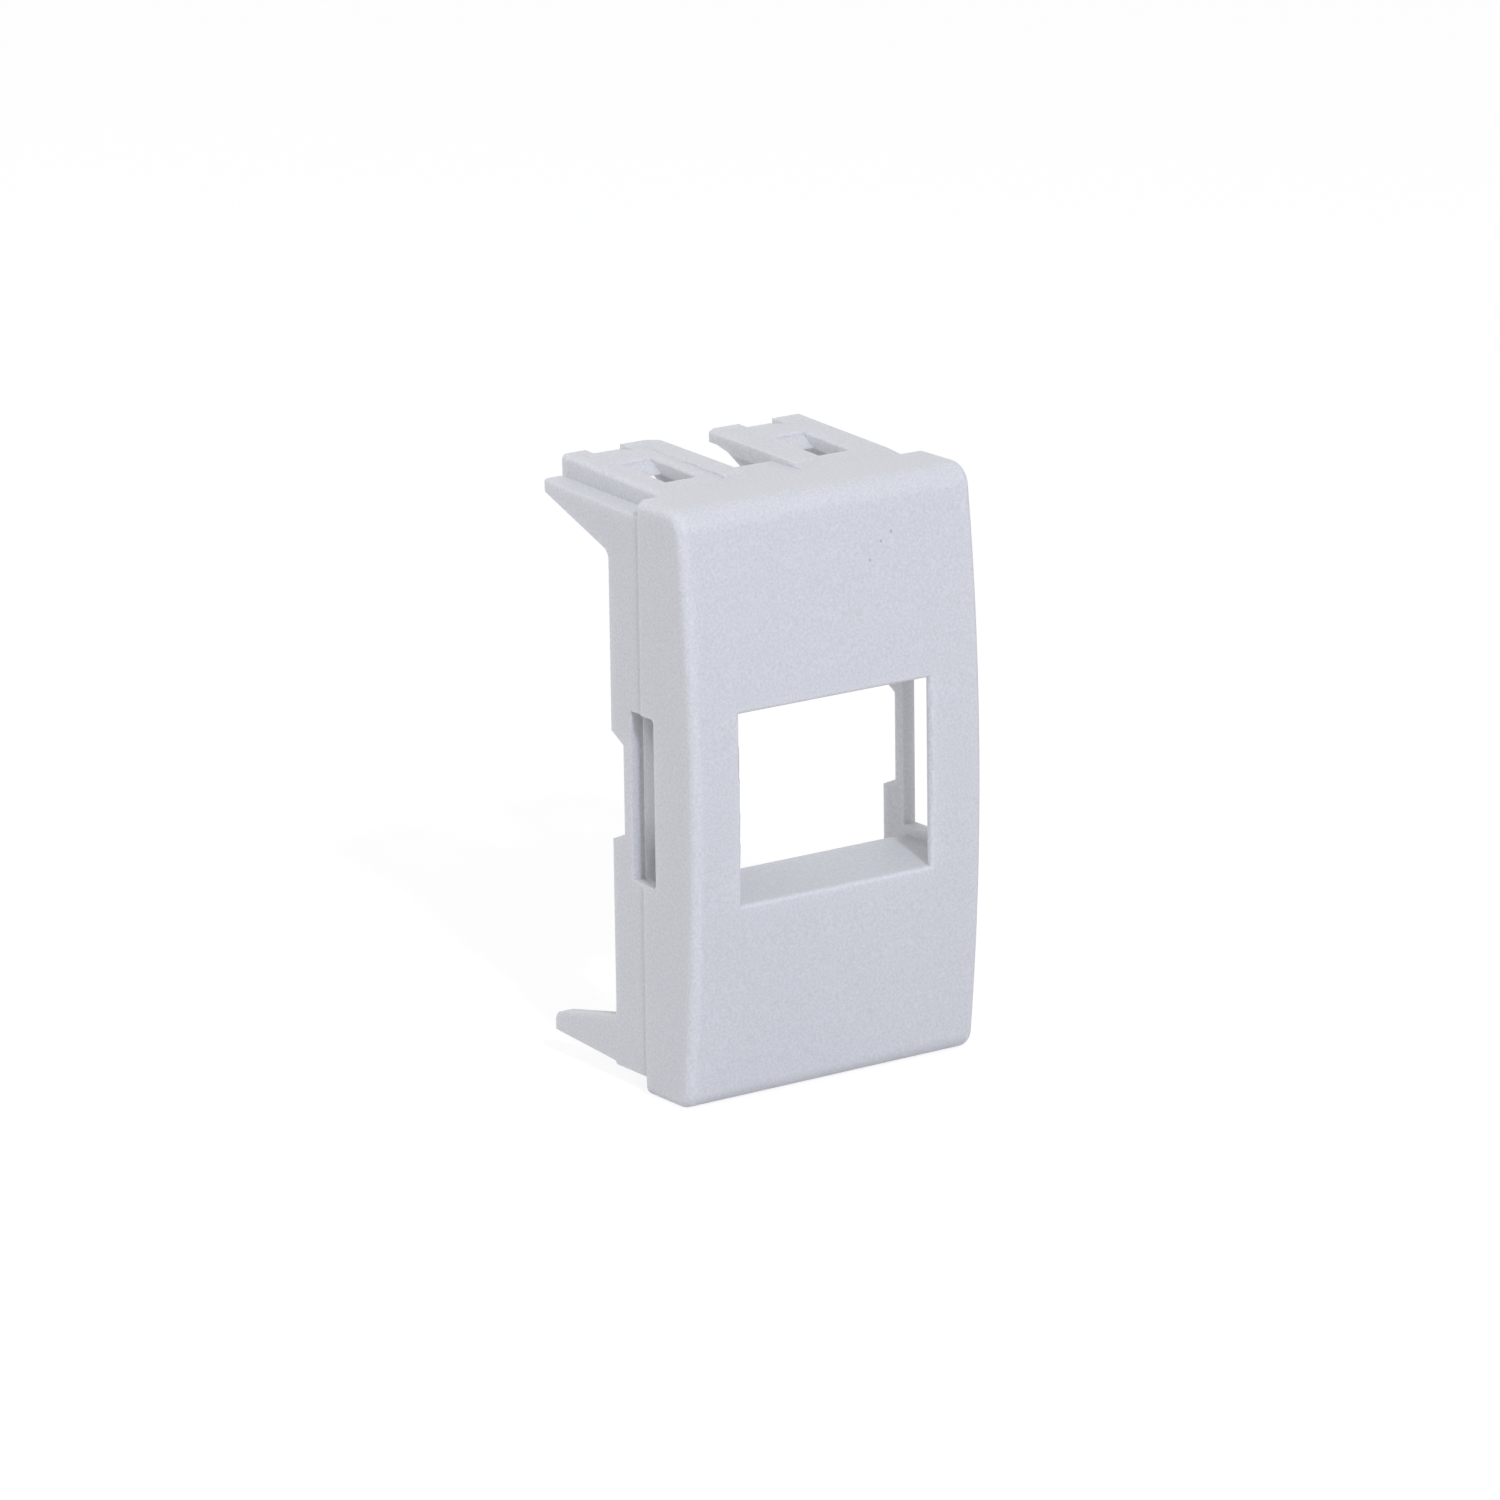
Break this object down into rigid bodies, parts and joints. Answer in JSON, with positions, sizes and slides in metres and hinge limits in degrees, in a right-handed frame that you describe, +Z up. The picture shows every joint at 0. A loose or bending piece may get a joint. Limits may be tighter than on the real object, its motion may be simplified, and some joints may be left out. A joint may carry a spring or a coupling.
{
  "type": "keystone mounting module",
  "caption": "Snap-in wall plate module with a crowned front and an opening that holds a keystone jack.",
  "frame": {"origin": "centre of the seating plane, the plane of the back of the fascia's lip", "axes": "+X to the right seen from the front, +Y into the wall box, +Z up"},
  "size_m": [0.0264, 0.0199, 0.0463],
  "materials": {
    "moulding": "fine spark-eroded matte, white with a cool tint"
  },
  "bodies": {
    "root": {"module_body": "moulding"}
  },
  "joints": []
}
